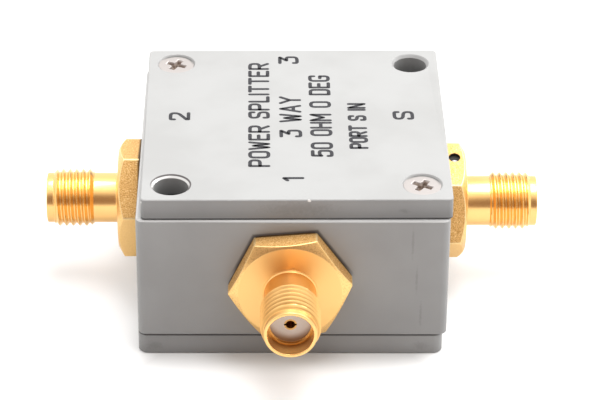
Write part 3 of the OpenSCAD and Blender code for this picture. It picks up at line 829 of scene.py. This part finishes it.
# %% [markdown]
# ## Screws
# The covers are held by small flat-head screws. Their cross recess is worn, so its walls lean and its rims
# are round. A Boolean cut would leave them sharp, so the top of the head is a height over a round grid: the
# depth of the cross at a point is the largest of two crossed wings and the cone between them. The shank
# carries the same kind of helix as the jacks.

# %% Screw steel
STEEL = (0.50, 0.465, 0.45, 1)
STEEL_SHADE = (0.17, 0.17, 0.165, 1)
DIRT, DIRT_PALE = (0.26, 0.20, 0.17, 1), (0.55, 0.48, 0.43, 1)


def steel_material():
    """Bright plated steel with painted shade on one side of the head's rim, dull and brown down in the
    recess.
    """
    material, tree, shader = new_material("screw_steel", 0.5, 1.0, STEEL[:3])
    tone = grain(tree, 16000.0, "Tone")
    dirt = span(plus(attribute(tree, "recess"), times(tone, 0.25)), 0.15, 0.55)
    patch = grain(tree, 2600.0)
    deep = blend_colour(span(patch, 0.42, 0.62), DIRT, DIRT_PALE)
    head = blend_colour(attribute(tree, "rim"), STEEL, STEEL_SHADE)
    feed(shader, {"Base Color": blend_colour(dirt, head, deep), "Roughness": span(dirt, 0.0, 1.0, 0.45, 0.6),
                  "Normal": bump(grain(tree, 9000.0), 0.02, 0.35)})
    return material


steel = steel_material()
print("material made:", steel.name)

# %% Screw shape
HEAD_R, SINK_R = 1.95, 2.075
SHANK_R = 1.09
SCREW_L = 6.35
SINK_HALF = math.radians(41)
TOP_R, DOME_H = HEAD_R - 0.06, 0.02
WING_HALF, WING_SPAN, RECESS_DEPTH = 0.28, 1.14, 0.75
END_SLOPE, SIDE_SLOPE, CONE_SLOPE, CONE_R = 1.9, 4.0, 2.4, 0.55
UNDERCUT_R, TIP_R = SHANK_R - 0.16, SHANK_R - 0.4
SCREW_CREST_R, SCREW_ROOT_R = SHANK_R - 0.01, SHANK_R - 0.28
SCREW_PITCH = 25.4 / 56
head_drop = (SINK_R - HEAD_R) / math.tan(SINK_HALF)
head_h = (HEAD_R - SHANK_R) / math.tan(SINK_HALF)
print("head sits", round(head_drop, 3), "mm below the cover's face")


def recess_depth(x, y):
    """Depth of the cross. A wing is as deep as the least of the full depth, the way to its end times one
    slope, and the way to its side times another. The cone between the wings falls from its rim to the full
    depth. The result is kept above 0 by the rounded form (d + root of d squared + a little) / 2."""
    def wing(along, across):
        end = END_SLOPE * (WING_SPAN - np.abs(along))
        side = SIDE_SLOPE * (WING_HALF + 0.05 - np.abs(across))
        return np.minimum(np.minimum(end, side), RECESS_DEPTH)
    middle = np.minimum(CONE_SLOPE * (CONE_R - np.hypot(x, y)), RECESS_DEPTH)
    depth = np.maximum(np.maximum(wing(x, y), wing(y, x)), middle)
    return 0.5 * (depth + np.sqrt(depth ** 2 + 0.0016)) - 0.006


def screw_mesh(name, slot_turn):
    """Head over a round grid, cone, threaded shank and point, in one grid from pole to pole. Z is up."""
    turn = np.linspace(0, 360, 145)
    way = np.linspace(0, 1, 46)[:, None] ** 0.9 * TOP_R
    angle = np.radians(turn + slot_turn)
    depth = recess_depth(way * np.cos(angle), way * np.sin(angle))
    dome = DOME_H * (way / HEAD_R) ** 2
    top = np.stack([-depth - dome, np.repeat(way, len(turn), 1)], -1)
    cone_end = head_h + 0.15
    side = soften(rings(turn, [(-DOME_H, TOP_R), (-0.06, HEAD_R - 0.01), (-head_h, SHANK_R - 0.02),
                               (-cone_end, UNDERCUT_R)]), 0.04)
    thread = helix_rows(turn, cone_end, SCREW_L, SCREW_CREST_R, SCREW_ROOT_R, SCREW_PITCH, UNDERCUT_R, TIP_R)
    thread[..., 0] *= -1
    points = turned_points(np.concatenate([top, side, thread, rings(turn, [(-SCREW_L, 0.0)])]), turn)
    mesh = grid_mesh(name, [points[..., [1, 2, 0]]])
    open_edges = tidy_mesh(mesh)
    spots = vertex_places(mesh)
    radius, z = np.maximum(np.hypot(spots[:, 0], spots[:, 1]), 1e-6), spots[:, 2]
    store(mesh, "recess", np.where((radius < HEAD_R - 0.3) & (z > -1.2), -z / RECESS_DEPTH, 0))
    # Painted shade darkens the rim of the head on the side away from the viewer and to the right
    toward = (0.3 * spots[:, 0] + 0.95 * spots[:, 1]) / radius
    store(mesh, "rim", np.clip((radius - 1.6) / 0.2, 0, 1) * np.clip(2 * toward - 0.5, 0, 1) * (z > -0.15))
    print(name, len(mesh.polygons), "faces,", open_edges, "open edges")
    return mesh


SLOT_TURN = {"top_screw_rear": 25.0, "top_screw_front": 30.0,
             "bottom_screw_rear": 40.0, "bottom_screw_front": 8.0}
for name, slot_turn in SLOT_TURN.items():
    mesh = screw_mesh(name + "_detailed", slot_turn)
    side = 1 if name.endswith("rear") else -1
    drop, flip = (case_top - head_drop, 0) if name.startswith("top") else (head_drop, math.pi)
    x, y = pattern_middle + side * other_diagonal
    mesh.transform(Matrix.Translation(Vector((x, y, drop)) * MM) @ Matrix.Rotation(flip, 4, "X"))
    add_piece(name + "_detailed", mesh, steel, "screw_steel", name)

# %% [markdown]
# ## Print on the top cover
# The cover carries a dark screen print: a mark at each port and a few plain words that any such part could
# carry. A Text object would take its outlines from a font, but these letters are single strokes of one width
# with round ends. A stroke is a path on a grid of four by eight units, its bends are rounded, and a flat
# band is carried along it. The print reads from the right.

# %% Strokes of the letters, on a grid of 4 by 8 units; a third number rounds that corner
BOWL, CORNER = 1.9, 0.12
OVAL = [(0, 0, BOWL), (4, 0, BOWL), (4, 8, BOWL), (0, 8, BOWL), "closed"]
LOOP = [(0, 0), (0, 8), (4, 8, BOWL), (4, 3.7, BOWL), (0, 3.7)]
LETTERS = {
    "0": (4, [OVAL]),
    "1": (2.4, [[(0.6, 6.5), (2.2, 8), (2.2, 0)]]),
    "2": (4, [[(0, 6.3), (0, 8, BOWL), (4, 8, BOWL), (4, 4.6, 1.6), (0, 0.9), (0, 0), (4, 0)]]),
    "3": (4, [[(0, 8), (3.9, 8), (1.7, 4.9), (4, 4.9, BOWL), (4, 0, BOWL), (0, 0, BOWL), (0, 1.6)]]),
    "5": (4, [[(3.8, 8), (0.3, 8), (0.1, 4.3), (1.4, 5.1, 0.6), (4, 5.1, BOWL), (4, 0, BOWL), (0, 0, BOWL),
               (0, 1.5)]]),
    "A": (4.2, [[(0, 0), (2.1, 8), (4.2, 0)], [(0.8, 2.7), (3.4, 2.7)]]),
    "D": (3.9, [[(0, 0), (3.9, 0, BOWL), (3.9, 8, BOWL), (0, 8), "closed"]]),
    "E": (3.6, [[(3.6, 8), (0, 8), (0, 0), (3.6, 0)], [(0, 4.2), (3, 4.2)]]),
    "G": (4, [[(4, 6.3), (4, 8, BOWL), (0, 8, BOWL), (0, 0, BOWL), (4, 0, BOWL), (4, 3.6), (2.3, 3.6)]]),
    "H": (4, [[(0, 8), (0, 0)], [(4, 8), (4, 0)], [(0, 4.1), (4, 4.1)]]),
    "I": (0.2, [[(0.1, 8), (0.1, 0)]]),
    "L": (3.4, [[(0, 8), (0, 0), (3.4, 0)]]),
    "M": (4.6, [[(0, 0), (0, 8), (2.3, 2.8), (4.6, 8), (4.6, 0)]]),
    "N": (4, [[(0, 0), (0, 8), (4, 0), (4, 8)]]),
    "O": (4, [OVAL]),
    "P": (4, [LOOP]),
    "R": (4, [LOOP, [(1.9, 3.7), (4, 0)]]),
    "S": (4, [[(4, 6.3), (4, 8, BOWL), (0, 8, BOWL), (0, 4.3, 1.7), (4, 3.9, 1.7), (4, 0, BOWL), (0, 0, BOWL),
               (0, 1.7)]]),
    "T": (4, [[(0, 8), (4, 8)], [(2, 8), (2, 0)]]),
    "W": (4.8, [[(0, 8), (1.2, 0), (2.4, 6.4), (3.6, 0), (4.8, 8)]]),
    "Y": (4.2, [[(0, 8), (2.1, 4), (4.2, 8)], [(2.1, 4), (2.1, 0)]]),
    " ": (2.4, []),
}
print("letters drawn:", "".join(sorted(LETTERS)))


# %% Band along a stroke
def band(path, closed, half_width, low, high):
    """Flat band of even width along a path: at each point two sides, half_width out along the mitre
    (n1 + n2) / (1 + n1.n2) of the neighbouring normals. An open end closes with a half circle, where the
    width follows the cosine and the way past the end follows the sine of the same angle."""
    path = np.asarray(path, float)
    after = np.roll(path, -1, 0) - path
    if not closed:
        after[-1] = after[-2]
    after /= np.linalg.norm(after, axis=1, keepdims=True)
    before = np.roll(after, 1, 0)
    if not closed:
        before[0] = after[0]
    first, second = before[:, ::-1] * (-1, 1), after[:, ::-1] * (-1, 1)
    mitre = (first + second) / (1 + np.sum(first * second, 1, keepdims=True))
    width = np.full(len(path), half_width)
    if not closed:
        angle = np.radians([90, 60, 30])
        start = path[0] - after[0] * (half_width * np.sin(angle))[:, None]
        end = path[-1] + after[-1] * (half_width * np.sin(angle[::-1]))[:, None]
        path = np.concatenate([start, path, end])
        mitre = np.concatenate([np.repeat(mitre[:1], 3, 0), mitre, np.repeat(mitre[-1:], 3, 0)])
        width = np.concatenate([half_width * np.cos(angle), width, half_width * np.cos(angle[::-1])])
    left, right_side = path + mitre * width[:, None], path - mitre * width[:, None]
    corners = [(left, low), (right_side, low), (right_side, high), (left, high)]
    return np.stack([np.column_stack([side, np.full(len(path), z)]) for side, z in corners], 1)


# %% One line of text
STROKE, LETTER_GAP = 0.38, 2.0


def print_text(text, baseline, start, height, widen):
    """Open bands and closed bands of one line, and where it ends. Reading runs along +Y and the letters'
    tops point along -X."""
    unit = height / 8
    grids, closed_grids, cursor = [], [], start
    for letter in text:
        width, strokes = LETTERS[letter]
        for points in strokes:
            closed = points[-1] == "closed"
            corners = [p for p in points if p != "closed"]
            radii = np.array([p[2] if len(p) > 2 else CORNER for p in corners])[:, None]
            path = soften([p[:2] for p in corners], radii, closed, 7) * unit
            placed = np.stack([baseline - path[:, 1], cursor + widen * path[:, 0]], -1)
            # Each stroke is a hair lower than the one before, so crossing tops don't lie in one plane
            top = case_top - 0.002 * ((len(grids) + len(closed_grids)) % 4)
            flat = band(placed, closed, STROKE / 2, case_top - INK_THICKNESS, top)
            (closed_grids if closed else grids).append(flat)
        cursor += (width + LETTER_GAP) * unit * widen
    return grids, closed_grids, cursor - LETTER_GAP * unit * widen


# %% The print
# Words, baseline, start, height of the letters, and how much wider than the grid they are
LINES = [("POWER SPLITTER", -2.8, -9.1, 1.9, 1.2), ("3 WAY", 0.55, -3.1, 2.0, 1.2),
         ("50 OHM 0 DEG", 3.7, -7.1, 1.95, 1.06), ("PORT S IN", 7.35, -5.5, 1.6, 1.02),
         ("2", -11.16, 0.5, 1.88, 1.38), ("S", 12.37, 0.55, 1.88, 1.48),
         ("1", 0.62, -12.1, 1.88, 1.17), ("3", 0.42, 12.76, 1.86, 1.4)]
INK, INK_PALE = (0.024, 0.024, 0.028, 1), (0.06, 0.06, 0.064, 1)


def ink_material():
    """Dark grey ink, a little uneven."""
    material, tree, shader = new_material("print_ink", 0.7, colour=(0.03, 0.03, 0.034))
    tone = span(grain(tree, 5000.0), 0.4, 0.75)
    feed(shader, {"Base Color": blend_colour(tone, INK, INK_PALE), "Specular IOR Level": 0.25})
    return material


open_bands, closed_bands = [], []
for text, baseline, start, height, widen in LINES:
    made, made_closed, end = print_text(text, baseline, start, height, widen)
    open_bands += made
    closed_bands += made_closed
    print(text, "from", round(start, 1), "to", round(end, 1), "mm")
bands = grid_mesh("top_print", open_bands, wrap_columns=True)
work = bmesh.new()
work.from_mesh(bands)
work.from_mesh(grid_mesh("closed_bands", closed_bands, wrap_rows=True, wrap_columns=True))
bmesh.ops.remove_doubles(work, verts=work.verts, dist=1e-8)
bmesh.ops.recalc_face_normals(work, faces=work.faces)
work.to_mesh(bands)
work.free()
shift = Matrix.Translation(Vector((*pattern_middle, 0)) * MM)
bands.transform(shift @ Matrix.Rotation(pattern_turn, 4, "Z"))
add_piece("top_print", bands, ink_material(), "print_ink")
print("print:", len(bands.polygons), "faces")

# %% [markdown]
# ## Carried-over solids
# Insulators, contacts and resin plugs are right as solids, and the circuit can't be seen. They keep their
# meshes and only get finishes. The insulator is a white fluoropolymer, a little waxy. The resin is glossy
# black. The board, ferrites, wire and chips get the plain look that such parts have.

# %% Finishes of the small parts
def speckled(name, first, second, roughness, scale, metallic=0.0, specular=0.5):
    """Finish with two close tones and a fine grain."""
    material, tree, shader = new_material(name, roughness, metallic, first)
    tone = span(grain(tree, scale, "Tone"), 0.35, 0.7)
    feed(shader, {"Base Color": blend_colour(tone, (*first, 1), (*second, 1)), "Specular IOR Level": specular,
                  "Normal": bump(grain(tree, scale), 0.004, 0.5)})
    return material


FINISHES = {
    "insulator": speckled("insulator_white", (0.80, 0.76, 0.74), (0.72, 0.68, 0.66), 0.42, 9000.0),
    "contact": speckled("contact_gold", (0.70, 0.40, 0.14), (0.55, 0.30, 0.10), 0.35, 9000.0, 1.0),
    "resin": speckled("resin_black", (0.012, 0.011, 0.01), (0.03, 0.028, 0.025), 0.16, 9000.0, specular=0.15),
    "board": speckled("board_green", (0.03, 0.13, 0.05), (0.025, 0.10, 0.04), 0.35, 4000.0),
    "core": speckled("ferrite_grey", (0.06, 0.06, 0.065), (0.09, 0.09, 0.095), 0.6, 12000.0),
    "winding": speckled("enamelled_copper", (0.55, 0.17, 0.06), (0.42, 0.11, 0.04), 0.25, 9000.0, 1.0),
    "resistor": speckled("resistor_black", (0.02, 0.02, 0.022), (0.035, 0.035, 0.04), 0.4, 9000.0),
    "capacitor": speckled("capacitor_tan", (0.42, 0.30, 0.18), (0.36, 0.25, 0.15), 0.45, 9000.0),
}
dressed = 0
for node, solid in frame["nodes"].items():
    for word, finish in FINISHES.items():
        if word in node:
            solid.data.materials.clear()
            solid.data.materials.append(finish)
            dressed += 1
print("solids with a new finish:", dressed)

# %% Painted shade on the insulators, and the dark hole wall and a painted highlight at the resin of port S
GOLD_BROWN_SHADE = (0.30, 0.17, 0.10, 1)
HOLE_RIM_DARK, RESIN_HIGHLIGHT = (0.02, 0.02, 0.025, 1), (0.75, 0.75, 0.8, 1)
DARK_RIM_START, DARK_RIM_FULL = 13.4, 13.8
# In the mouths of ports 1 and 3 a painted shade, brown from the gold around it, lies on the lower rim of the
# insulator. The insulators of the other two ports lie outside this disc, so they get the painted shade all
# over
tree = FINISHES["insulator"].node_tree
mouth = place_of["port_1_mouth"]
clear = mark(tree, (mouth[0], 0, mouth[2] + 1.0), 2.9, (1, 0, 1), soft=0.35)
paint_over(FINISHES["insulator"], minus(1.0, clear), GOLD_BROWN_SHADE)
# The hole's wall at port S is dark up to its rim, and a painted highlight lies on the resin towards the
# camera
hole_x = case_half + FLANGE_T / 2
hole_y = place_of["port_s_thread"][1] - FLANGE_FLAT_R * math.sin(math.radians(RESIN_TURN["s"]))
dark_rim = mark(gold.node_tree, (hole_x, hole_y, 0), RESIN_MOUTH_R, (1, 1, 0), soft=0.12)
above = span(object_axes(gold.node_tree)["Z"], DARK_RIM_START, DARK_RIM_FULL)
paint_over(gold, times(dark_rim, above), HOLE_RIM_DARK)
tree = FINISHES["resin"].node_tree
paint_over(FINISHES["resin"], mark(tree, (hole_x, hole_y - 0.6, 0), 0.42, (1, 1, 0), soft=0.4), RESIN_HIGHLIGHT)
print("resin hole at port S:", round(hole_x, 2), round(hole_y, 2), "mm")

# %% [markdown]
# ## Table and light
# The object stands on a white table. Behind and to the right is a large soft lamp, above is a broad panel,
# and towards the camera the room is dark, which draws the brown band on the gold barrels. Stronger lamps
# would make the table whiter, but the case as well. So the table is a pale grey with a little light of its
# own that only the eye and reflections see, and the soft shadow beside the case stays.

# %% Table
TABLE_FRONT, TABLE_BACK, TABLE_SIDE = -160.0, 900.0, 700.0
TABLE_LIGHT, MIRRORED_LIGHT = 0.3, 0.06
table_rows = [[(-TABLE_SIDE, y, 0), (TABLE_SIDE, y, 0)] for y in (TABLE_FRONT, TABLE_BACK)]
table_mesh = grid_mesh("table", [np.array(table_rows)])
table = in_scene("table", table_mesh)
material, tree, shader = new_material("table_white", 0.6, colour=(0.64, 0.64, 0.64))
ray = add(tree, "LightPath").outputs
mirrored = largest(ray["Is Glossy Ray"], ray["Is Transmission Ray"])
# The table's own light fades out under and behind the case, close to its front and a little to its left. This
# is a painted shadow, so that the foot of the case keeps its dark line
axes = object_axes(tree)
ahead, left = minus(-case_half, axes["Y"]), minus(2.5 - case_half, axes["X"])
right = minus(axes["X"], case_half - 4.0)
clear = span(largest(ahead, left, right), 0.0, 4.0, 0.1, 1.0)
# Painted light: in reflections the table glows brighter beside the case, where the lower flats of the
# hexagons see it
beside = math_node("ABSOLUTE", axes["X"])
near_side = times(span(beside, case_half - 0.5, case_half),
                  span(beside, case_half + 12, case_half + 3, 0.0, 0.17))
seen = plus(times(ray["Is Camera Ray"], TABLE_LIGHT, clear),
            times(mirrored, plus(near_side, MIRRORED_LIGHT)))
feed(shader, {"Emission Strength": seen, "Emission Color": (1, 1, 1, 1), "Specular IOR Level": 0.0})
table_mesh.materials.append(material)
table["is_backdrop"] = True
print("table:", 2 * TABLE_SIDE, "by", TABLE_BACK - TABLE_FRONT, "mm")


# %% Lamps and room
ROOM_DARK, ROOM_BRIGHT = (0.34, 0.24, 0.21, 1), (1.4, 1.39, 1.37, 1)


def lamp(name, place_mm, aim_mm, size_mm, radiance):
    """Rectangular soft lamp. Its power is pi times area times the wanted radiance."""
    data = bpy.data.lights.new(name, "AREA")
    data.shape, data.size, data.size_y = "RECTANGLE", size_mm[0] * MM, size_mm[1] * MM
    data.energy = math.pi * data.size * data.size_y * radiance
    thing = in_scene(name, data)
    thing.location = Vector(place_mm) * MM
    thing.rotation_euler = (Vector(aim_mm) - Vector(place_mm)).to_track_quat("-Z", "Y").to_euler()


lamp("panel above", (42, 22, 430), (0, 0, 0), (290, 180), 8.4)
lamp("lamp behind right", (330, 170, 260), (0, 0, 10), (300, 300), 4.0)

world = bpy.data.worlds.new("room")
bpy.context.scene.world = world
world.use_nodes = True
tree = world.node_tree
ray = add(tree, "LightPath").outputs
direction = add(tree, "SeparateXYZ", {0: add(tree, "TexCoord").outputs["Generated"]}).outputs
# The room is brighter upwards, towards the back and to both sides
sideways = math_node("ABSOLUTE", plus(direction["X"], 0.08))
bright = plus(direction["Z"], times(direction["Y"], 0.6), times(sideways, 0.7))
shade = blend_colour(span(bright, 0.1, 0.75), ROOM_DARK, ROOM_BRIGHT)
feed(tree.nodes["Background"], {"Color": blend_colour(ray["Is Camera Ray"], shade, (1, 1, 1, 1))})
bpy.context.scene.view_settings.view_transform = "Standard"

# %% Sizes of the solids and of the finished object, and the end
visual_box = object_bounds()
growth = (visual_box[1] - visual_box[0]) - (cad_box[1] - cad_box[0])
print("grown by", [round(value / MM, 4) for value in growth], "mm")
